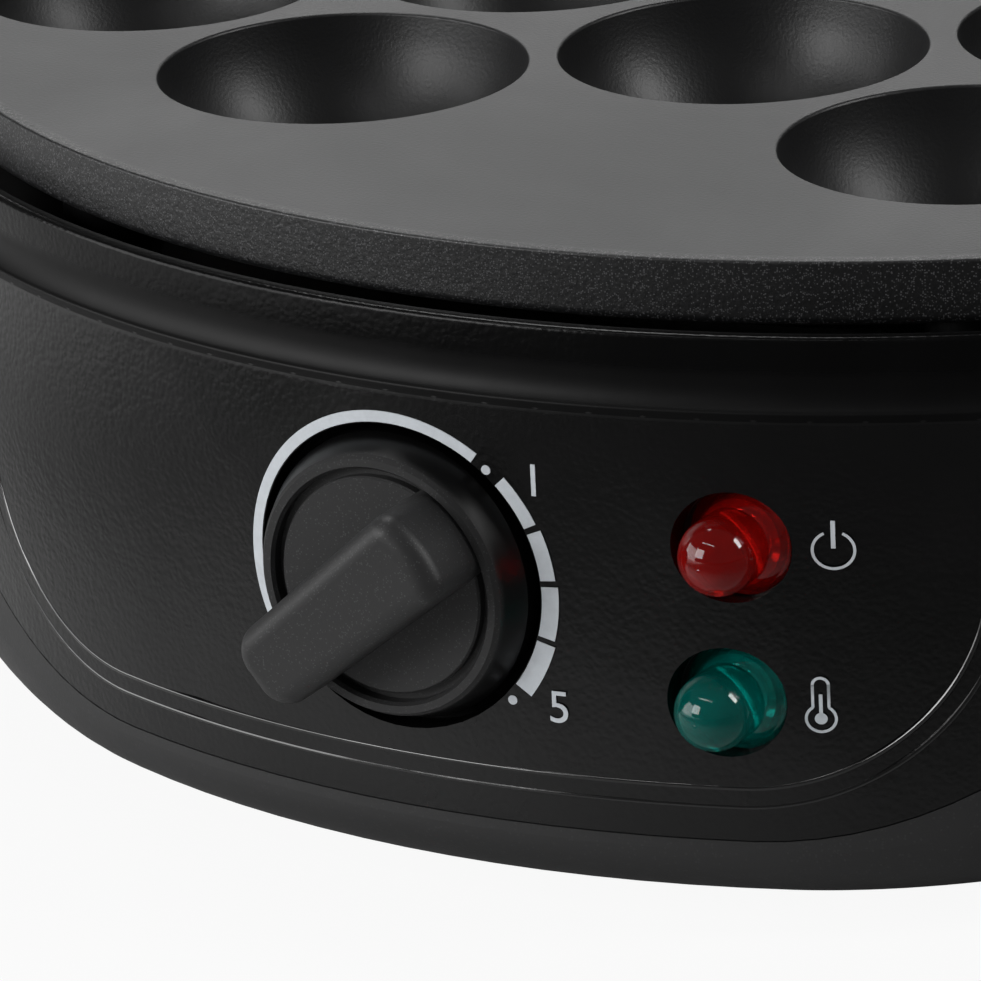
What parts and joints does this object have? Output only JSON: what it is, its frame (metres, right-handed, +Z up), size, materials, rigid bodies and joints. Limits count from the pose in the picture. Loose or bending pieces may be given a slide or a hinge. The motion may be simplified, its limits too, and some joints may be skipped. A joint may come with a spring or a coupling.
{
  "type": "takoyaki maker",
  "caption": "Round table-top takoyaki cooker: cast plate of half-round cups on a black housing with a front control dial and two lamps.",
  "frame": {"origin": "on the table, straight under the centre of the round cooking plate, which is the middle of the base of the whole", "axes": "+Z up, the control panel faces -Y, +X to the right of someone facing the panel"},
  "size_m": [0.2348, 0.2576, 0.07],
  "materials": {
    "plate": "satin non-stick coating, dark grey",
    "housing": "glossy black moulding with a fine leathery grain",
    "base": "smooth satin black moulding",
    "knob": "matte black, finely sparked",
    "gland": "satin black",
    "foot": "matte black rubber",
    "red_lens": "clear red plastic",
    "green_lens": "clear green plastic",
    "neon_glass": "clear glass",
    "steel": "plated",
    "reflector": "aluminised sheet",
    "mica": "pale mica",
    "ceramic": "unglazed ceramic"
  },
  "bodies": {
    "base": {"cooking_plate": "plate", "heating_element": "steel", "element_clamps": "steel", "clamp_screws": "steel", "heat_reflector": "reflector", "heat_washers": "mica", "plate_screws": "steel", "upper_housing": "housing", "bottom_cover": "base", "cover_screws": "steel", "thermostat_body": "ceramic", "thermostat_nut": "steel", "cord_gland": "gland", "terminal_block": "ceramic", "foot_front_left": "foot", "foot_front_right": "foot", "foot_rear_left": "foot", "foot_rear_right": "foot", "power_lamp_lens": "red_lens", "power_lamp_retainer": "steel", "power_neon_lamp": "neon_glass", "ready_lamp_lens": "green_lens", "ready_lamp_retainer": "steel", "ready_neon_lamp": "neon_glass"},
    "knob": {"control_knob": "knob", "knob_clip": "steel", "thermostat_shaft": "steel"}
  },
  "joints": [
    {"name": "knob_turn", "type": "hinge", "parent": "base", "child": "knob", "pos_m": [0, -0.1174, 0.0352], "axis": [0, 1, 0], "range_deg": [0, 260]}
  ]
}
